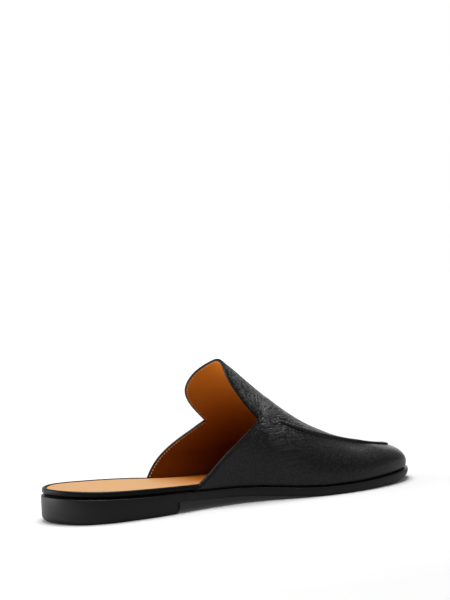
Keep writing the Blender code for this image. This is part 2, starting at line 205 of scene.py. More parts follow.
FAN_REACH = 30.0  # how far the calf's fine wrinkles spread from the notches
FAN_LEVEL = 22.0  # below the notch they run level, this far apart for a turn of one radian
FAN_TURNS = (-1.45, -0.95, 1.7, 2.2)  # turns at which they start, are whole, and fade to nothing
FAN_BELOW = (0.45, -0.24, 0.16)  # their strength below the notch, and the turns where it changes
FAN_STARTS = (2.5, 6.5)  # distances from the notch between which they set in
FAN_FOLDS = 15.0  # fine wrinkles in about a radian
FAN_LENGTH = 9.0  # and about how long each runs
FOLD_HEIGHT = 3.0
FOLD_HIGHLIGHT = 0.8  # how bright their tops are painted, as painted highlight, where a pebble's is 1

PEBBLE = (1.8, 1.0)  # width and height of the calf's pebbles
PEBBLE_SHIFT = 0.9  # how far they are moved out of even rows
PEBBLE_DULLS = 0.2  # how much rougher the calf is where it is pebbled
# How much the pebbles show: 0 where they are pulled flat, up to 1.
GRAIN_LEAST = 0.1
GRAIN_COLUMNS = (0.5, 1.3)  # columns of the vamp's side between which they set in
GRAIN_VAMP = 0.08  # what is left of them on the vamp
GRAIN_STATIONS = (160.0, 198.0)  # stations between which they fade to that
GRAIN_APRON = 0.8
GRAIN_APRON_COLUMNS = (4.0, 5.0)  # columns between which they come back on the apron
GRAIN_FAN = 0.6  # how much of them the fine wrinkles take
PORE_DEPTH = 0.1  # of smooth leather's pores, and of a thread's twist
VEGETABLE_TANNED = {"IOR": 1.45, "Specular_IOR_Level": 0.1}
OF_COLORS = {"output": 2, "data_type": "RGBA"}  # makes a Mix node mix its inputs 6 and 7

EDGE_REACH = 6.0  # how far from the topline the calf's distance to it is kept
BAND = 0.55  # width of the topline's folded edge
BAND_PROUD = 0.2  # how far it stands out of the calf
BAND_LIP = 0.3  # how far it rounds out past the topline
BAND_INSIDE = 0.05  # how far it covers the lining
BAND_INSIDE_PROUD = 0.1
BAND_SUNK = 0.2  # how far its two edges dive into the leather
BAND_BEVEL = 0.25  # width of its outer step
BAND_STITCH = 1.2  # from the folded edge's step to the stitches outside
LINING_STITCH = 1.0  # from the topline to the stitches on the lining
STITCH_PITCH = 2.6  # of the binding's stitches
STITCH_LENGTH = 1.9
STITCH_RINGS = 7
STITCH_SIDES = 6
STITCH_GROOVE = (0.7, 0.3)  # half width and depth of the groove the binding's stitches lie in
BAND_THREAD = (0.55, 0.05)  # thickness of the binding's thread, and how far it stands out
SEAM_THREAD = (0.7, 0.1)  # and of the apron seam's
# How far past the seam's foot its thread starts, and where it ends, in half widths and heights.
SEAM_THREAD_ENDS = (0.6, 0.5, 0.75)
TOPLINE_SPACING = 0.5  # from one of its points to the next
NOTCH_ROUNDING = 1.6  # how far the binding's turn at the notch is drawn out

UPPER_ROWS = 530
LINING_ROWS = 300
CALF_COLUMNS = (24, 24, 4, 8, 4, 24)  # of the calf between the landmarks of a rib
LINING_COLUMNS = (18, 9, 2, 2, 2, 15)
TOPLINE_COLUMNS = (40, 16, 4, 4, 4, 30)
LINING_FOOT = 0.06  # column where the lining starts, hidden by the insole
SEAM_CROWDING = 1.6  # above 1, columns lie closer together beside the seam
SEAM_STEPS = 600
CAP_STEPS = 24
LINE_PART = 40  # points of the topline that are measured from at once
OUTLINE_STEPS = 360
CROWN_WIDTH = 30.0  # from which width a cap has its whole crown
FINE_STEPS = 1200  # where an outline is walked to space points evenly
TURN_STEP = 1e-3  # radians to each side, where a slope comes from two near points
JOIN_WITHIN = 2e-6  # metres: points closer than this are one
SHARP_ANGLE = 45.0  # degrees, from which an edge isn't shaded smooth

CAMERA_TURNS = (-30.78, 1.17, -2.36)  # degrees: azimuth, elevation and roll
CAMERA_PLACE = (-361.6, -848.6, 159.6)  # station, side and height
CAMERA_LENS = 84.16

# The studio: light of the room's front and back walls and its ceiling on the shoe, and softboxes
# as place and size in metres and power in watts.
PAPER_SIZE = 30.0  # metres
PAPER_GAP = 0.0001  # metres between the paper and the heel
PAPER_CLOUDS = 6.0  # faint clouds of tone in a metre
PAPER_BACK = (-0.75, 0.66, 0.0)  # on this side of the shoe the paper is painted white for the light it throws back, as painted light from behind
WALL_LIGHT = (0.15, 0.82)
CEILING_LIGHT = 0.3
SOFTBOXES = (
    ("overhead softbox", (0.0, 0.1, 1.0), 0.6, 10.5),
    ("left softbox", (-1.1, 0.55, 0.3), 1.0, 11.0),
    ("back softbox", (0.95, 0.86, 0.23), 0.4, 0.55),
)


def spline(knots, values):
    """A natural cubic spline through a few values, as a function of an array."""
    knots = np.array(knots, float)
    values = np.array(values, float)
    gaps = np.diff(knots)
    slopes = np.diff(values) / gaps
    system = np.eye(len(knots))
    change = np.zeros(len(knots))
    for i in range(1, len(knots) - 1):
        system[i, i - 1 : i + 2] = gaps[i - 1], 2 * (gaps[i - 1] + gaps[i]), gaps[i]
        change[i] = 6 * (slopes[i] - slopes[i - 1])
    bend = np.linalg.solve(system, change)

    def value(at):
        i = np.clip(np.searchsorted(knots, at) - 1, 0, len(gaps) - 1)
        left, right, gap = at - knots[i], knots[i + 1] - at, gaps[i]
        curved = (bend[i] * right**3 + bend[i + 1] * left**3) / (6 * gap)
        line_left = (values[i] / gap - bend[i] * gap / 6) * right
        line_right = (values[i + 1] / gap - bend[i + 1] * gap / 6) * left
        return curved + line_left + line_right

    return value


def ease(x):
    x = np.clip(x, 0.0, 1.0)
    return x * x * (3.0 - 2.0 * x)


def between(first, last, share):
    return first + (last - first) * share


def eased(value, start, end):
    """0 up to the start, 1 from the end, and a soft step between."""
    return ease((value - start) / (end - start))


def unit(vectors):
    return vectors / np.linalg.norm(vectors, axis=-1, keepdims=True)


def run_along(line):
    """The distance along a line of points at each of them."""
    return np.concatenate([[0.0], np.cumsum(np.linalg.norm(np.diff(line, axis=0), axis=1))])


def turn_of(station):
    return np.arccos(np.clip(2.0 * np.asarray(station) / LENGTH - 1.0, -1.0, 1.0))


def station_of(turn):
    return LENGTH / 2.0 * (1.0 + np.cos(turn))


def round_the_shoe(medial, lateral):
    """A closed smooth curve through one value of each side of each sole section, by turn."""
    turns = [-turn_of(row.station) for row in SOLE] + [turn_of(row.station) for row in SOLE[-2::-1]]
    values = [medial(row) for row in SOLE] + [lateral(row) for row in SOLE[-2::-1]]
    lap = 3
    full = 2.0 * math.pi
    turns = [t - full for t in turns[-1 - lap : -1]] + turns + [t + full for t in turns[1 : 1 + lap]]
    values = values[-1 - lap : -1] + values + values[1 : 1 + lap]
    once_round = spline(turns, values)
    return lambda turn: once_round((turn + math.pi) % full - math.pi)


edge_side = round_the_shoe(lambda row: -row.medial, lambda row: row.lateral)
edge_under = round_the_shoe(lambda row: row.medial_under, lambda row: row.lateral_under)
edge_thick = round_the_shoe(lambda row: row.thick, lambda row: row.thick)

ridge_height, ridge_side, rib_fullness, apron_share = (
    spline([row.station for row in RIDGE], [getattr(row, field) for row in RIDGE])
    for field in ("height", "side", "fullness", "apron")
)

EDGE_SIDES = edge_side(np.linspace(-math.pi, math.pi, 800))
SIDE_SHIFT = (EDGE_SIDES.max() + EDGE_SIDES.min()) / 2.0  # centres the outsole's width


def placed(points):
    """From stations, sides and heights in millimetres to the shoe's own frame in metres."""
    return (np.asarray(points) - (LENGTH / 2.0, SIDE_SHIFT, 0.0)) * MM


def sole_under(turn):
    return np.maximum(edge_under(turn), 0.0)


def sole_top(turn):
    return sole_under(turn) + edge_thick(turn)


def outward(turn):
    """The level direction square to the outsole's outline, pointing away from the shoe."""
    stations = station_of(turn + TURN_STEP) - station_of(turn - TURN_STEP)
    sides = edge_side(turn + TURN_STEP) - edge_side(turn - TURN_STEP)
    return unit(np.stack([sides, -stations, 0.0 * sides], -1))


def edge_3d(turn, inset, height):
    here = np.stack([station_of(turn), edge_side(turn), height + 0.0 * turn], -1)
    return here - np.asarray(inset)[..., None] * outward(turn)


def ridge_station(turn):
    """Where on the ridge the rib from this turn ends: level with its foot, or fanned at the toe."""
    blend, pole = math.radians(TOE_BLEND_TURN), math.radians(TOE_POLE_TURN)
    span = blend - pole
    x = np.clip((np.abs(turn) - pole) / span, 0.0, 1.0)
    slope = -LENGTH / 2.0 * math.sin(blend) * span
    rise = station_of(blend) - TOE_POLE_STATION
    fanned = TOE_POLE_STATION + rise * (3 * x**2 - 2 * x**3) + slope * (x**3 - x**2)
    return np.where(np.abs(turn) >= blend, station_of(turn), fanned)


def ledge(turn):
    return between(*LEDGE, eased(station_of(turn), *FRONT))


def rib_power(turn):
    """How full a rib is. The toe is highest over the big toe, so its lateral ribs are slacker."""
    station = station_of(turn)
    lateral_toe = ease(turn / TOE_SLACK_TURN) * eased(station, *TOE_SLACK_STATIONS)
    return rib_fullness(station) - TOE_SLACK * lateral_toe


def rib_point(turn, angle):
    """A point of the last: a rib rises from the sole's edge, at angle 0, to the ridge, at 90."""
    foot = edge_3d(turn, ledge(turn), sole_top(turn) + GAP)
    top_station = ridge_station(turn)
    top = np.stack([top_station, ridge_side(top_station), ridge_height(top_station)], -1)
    power = 2.0 / rib_power(turn)
    sine, cosine = np.maximum(np.sin(angle), 0.0), np.maximum(np.cos(angle), 0.0)
    rise, reach = sine**power, 1.0 - cosine**power
    fullest = math.radians(BULGE_HEIGHT)
    swell = BULGE * sine * cosine**3 / (math.sin(fullest) * math.cos(fullest) ** 3)
    along = np.stack([reach, reach, rise], -1)
    return foot + (top - foot) * along + swell[..., None] * outward(turn)


def ridge_normal(station):
    slope = ridge_height(station + 0.5) - ridge_height(station - 0.5)
    return unit(np.stack([-slope, 0.0 * slope, 1.0 + 0.0 * slope], -1))


def rib_normal(turn, angle):
    """The outward normal of the last's surface."""
    lowest, highest = np.radians(NORMAL_FROM)
    inner = np.clip(angle, lowest, highest)
    along = rib_point(turn + TURN_STEP, inner) - rib_point(turn - TURN_STEP, inner)
    up = rib_point(turn, inner + TURN_STEP) - rib_point(turn, inner - TURN_STEP)
    on_ridge = (angle > highest)[..., None]
    return np.where(on_ridge, ridge_normal(ridge_station(turn)), unit(np.cross(along, up)))


def seam_place(turn):
    """The seam's angle up the rib, and the rib's length for each radian there."""
    seam = np.arccos(apron_share(station_of(turn)) ** (rib_power(turn) / 2.0))
    rise = rib_point(turn, seam + TURN_STEP) - rib_point(turn, seam)
    return seam, np.linalg.norm(rise, axis=-1) / TURN_STEP


def rib_angle(turn, column):
    """The angle up the rib of a column, counted from 0 to 6 over the rib's landmarks."""
    notch = between(*np.radians(NOTCHES), eased(turn, -math.pi / 2.0, math.pi / 2.0))
    seam, stretch = seam_place(turn)
    half = SEAM_HALF_WIDTH / stretch
    marks = [0.0 * turn, notch, seam - half, seam - half / 2, seam + half / 2, seam + half]
    marks = np.stack(marks + [0.0 * turn + math.pi / 2.0])
    zone = np.clip(np.floor(column).astype(int), 0, len(marks) - 2)
    zone = np.broadcast_to(zone, turn.shape)
    low = np.take_along_axis(marks, zone[None], 0)[0]
    high = np.take_along_axis(marks, zone[None] + 1, 0)[0]
    return between(low, high, column - zone)


def topline_station(column, side):
    """Station of the topline at a column, on the medial side, -1, or the lateral side, +1."""
    field = "medial" if side < 0 else "lateral"
    rows, share = QUARTER_EDGE, column
    if column > 1.0:
        level = np.array(side * math.pi / 2.0)
        notch, angle = rib_angle(level, np.array(1.0)), rib_angle(level, np.array(column))
        rows, share = TAB_EDGE, (angle - notch) / (math.pi / 2.0 - notch)
    return spline([row.share for row in rows], [getattr(row, field) for row in rows])(share)


def columns_of(steps, start=0.0):
    """Columns from the sole to the ridge, with these steps between the landmarks, and crowded
    on both sides of the seam."""
    columns = []
    for zone, n in enumerate(steps):
        share = np.arange(n) / n
        if zone == 1:
            share = 1.0 - (1.0 - share) ** SEAM_CROWDING
        if zone == len(steps) - 1:
            share = share**SEAM_CROWDING
        columns += (zone + share).tolist()
    return [max(column, start) for column in columns] + [float(len(steps))]


def even_turns(start, end, count):
    """Turns from start to end, at even distances along an outline of the shoe's mean width, so
    that points of the two sides meet one to one on the ridge."""
    fine = np.linspace(start, end, FINE_STEPS)
    width = edge_side(fine) - edge_side(-fine)
    run = run_along(np.stack([station_of(fine), width / 2.0], -1))
    return np.interp(np.linspace(0.0, run[-1], count), run, fine)


class Skin:
    """A grid on the last: columns from the sole to the ridge, each from topline to topline."""

    def __init__(self, steps, rows, start=0.0):
        columns = columns_of(steps, start)
        ends = [[-turn_of(topline_station(c, -1)), turn_of(topline_station(c, 1))] for c in columns]
        self.column = np.array(columns)[:, None] * np.ones(rows + 1)
        self.turn = np.array([even_turns(start, end, rows + 1) for start, end in ends])
        self.angle = rib_angle(self.turn, self.column)
        self.point = rib_point(self.turn, self.angle)
        self.normal = rib_normal(self.turn, self.angle)

    def at_depth(self, depth):
        return self.point - np.asarray(depth)[..., None] * self.normal


def mesh_object(name, points, faces, material, attributes=None):
    """A closed smooth mesh, with points in one place joined and named values kept at its points."""
    mesh = bpy.data.meshes.new(name)
    mesh.from_pydata(placed(points).tolist(), [], faces)
    for key, values in (attributes or {}).items():
        mesh.attributes.new(key, "FLOAT", "POINT").data.foreach_set("value", np.ravel(values))
    built = bmesh.new()
    built.from_mesh(mesh)
    bmesh.ops.remove_doubles(built, verts=built.verts, dist=JOIN_WITHIN)
    bmesh.ops.dissolve_degenerate(built, edges=built.edges, dist=JOIN_WITHIN / 2.0)
    bmesh.ops.recalc_face_normals(built, faces=built.faces)
    built.to_mesh(mesh)
    built.free()
    mesh.materials.append(material)
    mesh.shade_smooth()
    mesh.set_sharp_from_angle(angle=math.radians(SHARP_ANGLE))
    made = bpy.data.objects.new(name, mesh)
    bpy.context.scene.collection.objects.link(made)
    return made


def shell(name, outer, inner, material, values=None):
    """A closed shell between two grids of one size, with named values of the grid's points."""
    columns, rows = outer.shape[:2]
    index = np.arange(columns * rows).reshape(columns, rows)
    inside = columns * rows
    a, b, d, e = index[:-1, :-1], index[:-1, 1:], index[1:, :-1], index[1:, 1:]
    faces = [np.stack([a, b, e, d], -1).reshape(-1, 4)]
    faces.append(np.stack([a, d, e, b], -1).reshape(-1, 4) + inside)
    foot = index[0]
    faces.append(np.stack([foot[:-1], foot[:-1] + inside, foot[1:] + inside, foot[1:]], -1))
    for line in (index[:, 0], index[:, -1]):
        faces.append(np.stack([line[:-1], line[1:], line[1:] + inside, line[:-1] + inside], -1))
    points = np.concatenate([outer.reshape(-1, 3), inner.reshape(-1, 3)])
    values = {key: np.tile(value.ravel(), 2) for key, value in (values or {}).items()}
    return mesh_object(name, points, np.concatenate(faces).tolist(), material, values)


def finished(piece, slot, *nodes):
    """The piece rides on the shoe and stands for these solids, which are hidden. The slot is not
    used.
    """
    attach(piece, "root")
    if nodes:
        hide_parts(*nodes)


def linear(hex_color):
    """The linear colour of an sRGB hex value, with full alpha."""
    channels = [int(hex_color[i : i + 2], 16) / 255.0 for i in (0, 2, 4)]
    return (*[c / 12.92 if c <= 0.04045 else ((c + 0.055) / 1.055) ** 2.4 for c in channels], 1.0)


def add(tree, kind, inputs=None, output=0, **settings):
    """Adds a shader node with its settings and gives this output. An input given as a socket is
    linked, and one given as a hex colour is turned to linear."""
    made = tree.nodes.new("ShaderNode" + kind)
    for key, value in settings.items():
        setattr(made, key, value)
    for key, value in (inputs or {}).items():
        if isinstance(value, bpy.types.NodeSocket):
            tree.links.new(value, made.inputs[key])
        else:
            made.inputs[key].default_value = linear(value) if isinstance(value, str) else value
    return made.outputs[output]


def new_material(name, **constants):
    """A material with a Principled BSDF that has these constant inputs, its tree, and the place
    of each point of the shoe."""
    material = bpy.data.materials.new(name)
    material.use_nodes = True
    tree = material.node_tree
    for key, value in constants.items():
        tree.nodes["Principled BSDF"].inputs[key.replace("_", " ")].default_value = value
    return material, tree, add(tree, "TexCoord", output="Object")


def dressed(material, **sockets):
    """The material with these sockets linked to the inputs of its Principled BSDF."""
    tree = material.node_tree
    for key, socket in sockets.items():
        tree.links.new(socket, tree.nodes["Principled BSDF"].inputs[key.replace("_", " ")])
    return material


def per_metre(millimetres):
    """A texture's scale for a pattern that repeats after this many millimetres."""
    return 1.0 / (millimetres * MM)


def pebbles(tree, place, grain):
    """Small round pebbles out of even rows: the distance from each one's middle, and the bump."""
    width, height = PEBBLE
    warp = add(tree, "TexNoise", {"Vector": place, "Scale": per_metre(4.0), "Detail": 2.0}, "Color")
    shift = add(tree, "VectorMath", {0: warp, 1: (PEBBLE_SHIFT * MM,) * 3}, operation="MULTIPLY")
    bent = add(tree, "VectorMath", {0: place, 1: shift}, operation="ADD")
    pebble = add(tree, "TexVoronoi", {"Vector": bent, "Scale": per_metre(width)})
    fine = add(tree, "TexNoise", {"Vector": bent, "Scale": per_metre(0.9), "Detail": 2.0})
    relief = add(tree, "Math", {0: fine, 1: pebble}, operation="SUBTRACT")
    relief = add(tree, "Math", {0: relief, 1: grain}, operation="MULTIPLY")
    return pebble, add(tree, "Bump", {"Height": relief, "Strength": 1.0, "Distance": height * MM})


def fine_wrinkles(tree, fan, fan_turn, fan_run, bump):
    """Wrinkles that fan out from the notches: how high they are, and the bump with them."""
    across = add(tree, "Math", {0: fan_turn, 1: FAN_FOLDS}, operation="MULTIPLY")
    along = add(tree, "Math", {0: fan_run, 1: per_metre(FAN_LENGTH)}, operation="MULTIPLY")
    drawn = {"Vector": add(tree, "CombineXYZ", {0: across, 1: along}), "Scale": 1.0}
    wrinkle = add(tree, "TexNoise", {**drawn, "Detail": 1.0, "Distortion": 0.2})
    relief = add(tree, "Math", {0: wrinkle, 1: fan}, operation="MULTIPLY")
    raised = {"Height": relief, "Strength": 1.0, "Distance": FOLD_HEIGHT * MM, "Normal": bump}
    return wrinkle, add(tree, "Bump", raised)


def stitch_groove(tree, edge_run, bump):
    """The groove that the binding's stitches pull in: 0 along its middle and 1 beside it, which
    also paints the groove near black as painted shade, and the bump with it."""
    half_width, depth = STITCH_GROOVE
    away = add(tree, "Math", {0: edge_run, 1: (BAND + BAND_STITCH) * MM}, operation="SUBTRACT")
    away = add(tree, "Math", {0: away}, operation="ABSOLUTE")
    level = {"Value": away, "From Max": half_width * MM}
    level = add(tree, "MapRange", level, interpolation_type="SMOOTHSTEP")
    pulled = {"Height": level, "Strength": 1.0, "Distance": depth * MM, "Normal": bump}
    return level, add(tree, "Bump", pulled)


def pebbled_calf():
    """Chrome-tanned calf, dyed through, tumbled and lightly waxed: deep black, with small round
    pebbles on the instep that lie flat where the last stretches them. The tops of the pebbles, of
    the fine wrinkles and of the seam are painted grey, as painted highlights, and the grooves of
    the seam and of the binding's stitches are painted near black, as painted shade.
    Real pebbles are about 1 mm; they are drawn 1.8 mm wide to show from a step away."""
    material, tree, place = new_material("black pebbled calf", IOR=1.5, Specular_IOR_Level=0.45)
    kept = ("grain", "fan", "fan_turn", "fan_run", "edge_run", "seam_highlight", "groove_shade")
    values = [add(tree, "Attribute", output="Fac", attribute_name=name) for name in kept]
    grain, fan, fan_turn, fan_run, edge_run, seam_highlight, groove_shade = values
    pebble, bump = pebbles(tree, place, grain)
    wrinkle, bump = fine_wrinkles(tree, fan, fan_turn, fan_run, bump)
    level, bump = stitch_groove(tree, edge_run, bump)
    # The tops of the pebbles and of the fine wrinkles are painted light grey: painted highlight.
    top = {"Value": pebble, "From Min": 0.15, "From Max": 0.55, "To Min": 1.0, "To Max": 0.0}
    top = add(tree, "MapRange", top, interpolation_type="SMOOTHSTEP")
    top = add(tree, "Math", {0: top, 1: grain}, operation="MULTIPLY")
    fold = add(tree, "MapRange", {"Value": wrinkle, "From Min": 0.44, "From Max": 0.62})
    fold = add(tree, "Math", {0: fold, 1: fan}, operation="MULTIPLY")
    fold = add(tree, "Math", {0: fold, 1: FOLD_HIGHLIGHT}, operation="MULTIPLY")
    painted_highlight = add(tree, "Math", {0: top, 1: fold}, operation="MAXIMUM")
    painted_highlight = add(tree, "Math", {0: painted_highlight, 1: seam_highlight}, operation="MAXIMUM")
    tone = add(tree, "TexNoise", {"Vector": place, "Scale": per_metre(30.0), "Detail": 3.0})
    color = add(tree, "Mix", {0: tone, 6: "0A0A0B", 7: "0F0F10"}, **OF_COLORS)
    # 6C6C6E is the grey of the painted highlights.
    color = add(tree, "Mix", {0: painted_highlight, 6: color, 7: "6C6C6E"}, **OF_COLORS)
    # Near black in the seam's grooves: painted shade.
    color = add(tree, "Mix", {0: groove_shade, 6: color, 7: "020202"}, **OF_COLORS)
    # Near black along the binding's stitch groove: painted shade.
    color = add(tree, "Mix", {0: level, 6: "030303", 7: color}, **OF_COLORS)
    wear = add(tree, "MapRange", {"Value": tone, "To Min": 0.21, "To Max": 0.33})
    dull = add(tree, "Math", {0: grain, 1: PEBBLE_DULLS}, operation="MULTIPLY")
    wear = add(tree, "Math", {0: wear, 1: dull}, operation="ADD")
    return dressed(material, Base_Color=color, Roughness=wear, Normal=bump)


def leather(name, cloud, cell, strength, wear, tones, along=None, stretch=(1.0,) * 3, **constants):
    """A leather whose tone and gloss follow one noise, and its pores or fibres another, each
    given by its size in millimetres and its detail. Of two pairs of tones, the first gives way to
    the second between two points of an axis, in metres."""
    material, tree, place = new_material(name, **constants)
    stretched = add(tree, "Mapping", {"Vector": place, "Scale": stretch})
    cloud, cell = (
        add(tree, "TexNoise", {"Vector": where, "Scale": per_metre(size), "Detail": detail})
        for where, (size, detail) in ((place, cloud), (stretched, cell))
    )
    colors = [add(tree, "Mix", {0: cloud, 6: one, 7: other}, **OF_COLORS) for one, other in tones]
    color = colors[0]
    # On the lining and the sock, this change along an axis is painted light and shade.
    if along:
        axis, start, end = along
        share = add(tree, "SeparateXYZ", {0: place}, axis)
        share = add(tree, "MapRange", {"Value": share, "From Min": start, "From Max": end})
        color = add(tree, "Mix", {0: share, 6: color, 7: colors[1]}, **OF_COLORS)
    bump = add(tree, "Bump", {"Height": cell, "Strength": strength, "Distance": PORE_DEPTH * MM})
    wear = add(tree, "MapRange", {"Value": cloud, "To Min": wear[0], "To Max": wear[1]})
    return dressed(material, Base_Color=color, Roughness=wear, Normal=bump)


def binding_calf():
    """The same calf skived thin and folded over the topline: pulled smooth, so it is glossier."""
    noises = {"cloud": (0.8, 4.0), "cell": (0.8, 4.0), "strength": 0.25, "wear": (0.3, 0.42)}
    tones = [("0A0A0A", "100F10")]
    return leather("black binding calf", **noises, tones=tones, IOR=1.5, Specular_IOR_Level=0.16)


def lining_calf():
    """Vegetable-tanned lining calf, undyed and unfinished: dull and warm tan, with faint cloudy
    tones and fine hair cells, painted dark low down inside and bright toward the tab's top, as
    painted shade and painted light."""
    noises = {"cloud": (22.0, 5.0), "cell": (0.9, 3.0), "strength": 0.3, "wear": (0.5, 0.65)}
    # Dark tan low inside to bright tan high up, by height: painted shade and painted light.
    tones, along = [("763A0A", "80440E"), ("F08C2A", "F69A33")], ("Z", 0.03, 0.105)
    return leather("tan lining calf", **noises, tones=tones, along=along, **VEGETABLE_TANNED)


def sock_leather():
    """Vegetable-tanned sock leather, plated smooth: pale tan with a low silky sheen, painted darker
    and more orange ahead of the heel, as painted shade with the lining's warm bounce light."""
    noises = {"cloud": (40.0, 4.0), "cell": (0.8, 3.0), "strength": 0.2, "wear": (0.42, 0.55)}
    # Darker, more orange tan toward the front, inside the shoe: painted shade and painted bounce
    # light from the lining.
    tones, along = [("C99765", "CFA170"), ("AA601A", "B26A20")], ("X", -0.062, -0.02)
    return leather("pale tan sock leather", **noises, tones=tones, along=along, **VEGETABLE_TANNED)


def burnished_edge():
    """Stacked leather dyed black, waxed and burnished with a hot iron: satin, with fine level
    lines where the fibres of the layers were rubbed down."""
    noises = {"cloud": (14.0, 4.0), "cell": (0.9, 3.0), "strength": 0.25, "wear": (0.3, 0.45)}
    noises |= {"tones": [("0C0C0C", "121111")], "stretch": (0.05, 0.05, 1.0)}
    return leather("black burnished edge", **noises, IOR=1.5, Specular_IOR_Level=0.42)


def waxed_thread(name, dark, light):
    """Twisted polyester thread drawn through wax: a faint twist and a soft gloss."""
    material, tree, place = new_material(name, IOR=1.5, Specular_IOR_Level=0.4, Roughness=0.5)
    twist = add(tree, "TexNoise", {"Vector": place, "Scale": per_metre(0.5), "Detail": 2.0})
    bump = add(tree, "Bump", {"Height": twist, "Strength": 0.4, "Distance": PORE_DEPTH * MM})
    color = add(tree, "Mix", {0: twist, 6: dark, 7: light}, **OF_COLORS)
    return dressed(material, Base_Color=color, Normal=bump)


def seam_run():
    """Turns round the apron's seam, and the run along it at each."""
    turns = np.linspace(-turn_of(SEAM_START), turn_of(SEAM_START), SEAM_STEPS)
    return turns, run_along(rib_point(turns, seam_place(turns)[0]))


def seam_strength(turn):
    """1 along the apron's seam, and 0 behind its two ends."""
    return ease((station_of(turn) - SEAM_START) / SEAM_FADE + 0.5)


def near_line(points, line, reach):
    """Which points of a grid may lie within reach of a short line, and of those how far away the
    line is and which of its points is the nearest."""
    middle = line.mean(0)
    radius = np.linalg.norm(line - middle, axis=-1).max() + reach
    near = np.linalg.norm(points - middle, axis=-1) < radius
    gaps = np.linalg.norm(points[near][:, None] - line[None], axis=-1)
    return near, gaps.min(1), gaps.argmin(1)


def from_topline(points):
    """Distance of each point of a grid from the topline, where that is less than EDGE_REACH."""
    gaps = np.full(points.shape[:-1], EDGE_REACH)
    line = topline()[0]
    for start in range(0, len(line), LINE_PART):
        near, away, _ = near_line(points, line[start : start + LINE_PART], EDGE_REACH)
        gaps[near] = np.minimum(gaps[near], away)
    return gaps


def crease_relief(skin):
    """Soft troughs with a low ridge on each side, along each crease."""
    relief = np.zeros(skin.turn.shape)
    share = np.linspace(0.0, 1.0, CREASE_STEPS)
    height, place, spread = CREASE_RIDGE
    for crease in CREASES:
        station = between(crease.start, crease.end, share)
        column = between(crease.start_column, crease.end_column, share)
        turn = crease.side * turn_of(station)
        line = rib_point(turn, rib_angle(turn, column))
        near, away, nearest = near_line(skin.point, line, CREASE_REACH * crease.width)
        away /= crease.width
        fade = np.sin(math.pi * between(CREASE_END, 1.0 - CREASE_END, share[nearest]))
        profile = height * np.exp(-((away - place) ** 2) / spread) - np.exp(-(away**2))
        relief[near] += crease.depth * fade * profile
    return relief


def turned_foot(skin):
    """How far the leather turns in over the outsole."""
    depth, height = TUCK
    up = skin.point[..., 2] - sole_top(skin.turn) - GAP
    return depth * np.clip(1.0 - up / height, 0.0, 1.0) ** 2


def from_seam(skin):
    """How far up the leather from the middle of the seam each point lies."""
    seam, stretch = seam_place(skin.turn)
    return (skin.angle - seam) * stretch


def toward_toe(turn, pair):
    """The first value behind, the second at the toe, and a soft change between."""
    return between(*pair, eased(station_of(turn), *SEAM_CHANGES))


def seam_height(turn):
    """How high the seam stands: most on the toe's medial side."""
    lower, reach = SEAM_LATERAL
    lower = toward_toe(turn, (0.0, lower)) * ease(turn / reach)
    return toward_toe(turn, SEAM_HEIGHT) * (1.0 - lower)


def shoulder_strength(turn):
    """1 where the vamp stands up steeply to the seam, and 0 at the seam's ends and at the toe."""
    station = station_of(turn)
    starts = ease((station - SEAM_START) / SHOULDER_STARTS)
    return starts * (1.0 - eased(station, *SHOULDER_ENDS))


def vamp_relief(skin):
    """How far the vamp stands out of the last at the seam, and falls in below it."""
    away = from_seam(skin)
    (rise, width), (hollow, reach) = SHOULDER, HOLLOW
    below = np.clip(1.0 + away / width, 0.0, 1.0) ** 2
    above = np.maximum(1.0 - (away / APRON_SWELL) ** 2, 0.0) ** 2
    near_seam = np.where(away < 0.0, below, above)
    down = np.maximum(-away, 0.0) / reach
    return shoulder_strength(skin.turn) * (rise * near_seam - hollow * down * np.exp(1.0 - down))


def seam_relief(skin):
    """How far the calf stands out of the vamp's shape for its seam, apron and puckers, how dark
    each point is painted in the seam's grooves by their depth, as painted shade, and how bright its
    top is painted, as painted highlight."""
    away = from_seam(skin)
    crest = np.maximum(1.0 - (away / (SEAM_HALF_WIDTH + SEAM_FLANK)) ** 2, 0.0) ** SEAM_FULLNESS
    turns, run = seam_run()
    beat = 0.5 + 0.5 * np.cos(2.0 * math.pi * np.interp(skin.turn, turns, run) / SEAM_STITCH)
    below = np.clip(-away / PUCKER_REACH, 0.0, 1.0)
    pucker = PUCKER * beat * np.where(away < 0.0, (1.0 - below) ** 2, 0.0)
    place, half, depth = GROOVE
    lower = np.exp(-(((away + place) / half) ** 2)) * (depth + PIT * beat**2)
    first, last, length = UPPER_GROOVE
    past = np.clip((station_of(skin.turn) - SEAM_START) / length, 0.0, 1.0)
    upper = np.exp(-(((away - place) / half) ** 2)) * depth * between(first, last, past)
    grooves = lower + upper
    raised = seam_height(skin.turn) * crest - pucker
    raised += toward_toe(skin.turn, APRON_LIFT) * ease(away / SEAM_HALF_WIDTH)
    strength = seam_strength(skin.turn)
    middle, half, loss = SEAM_HIGHLIGHT
    # The seam's top is painted bright, less at each stitch: painted highlight.
    seam_highlight = np.exp(-(((away - middle) / half) ** 2)) * (1.0 - loss * beat)
    # The grooves are painted dark by their depth, more at each stitch: painted shade.
    groove_shade = np.minimum(grooves / (depth + PIT) * between(*DARKENED, beat), 1.0)
    return strength * (raised - grooves), strength * groove_shade, strength * seam_highlight


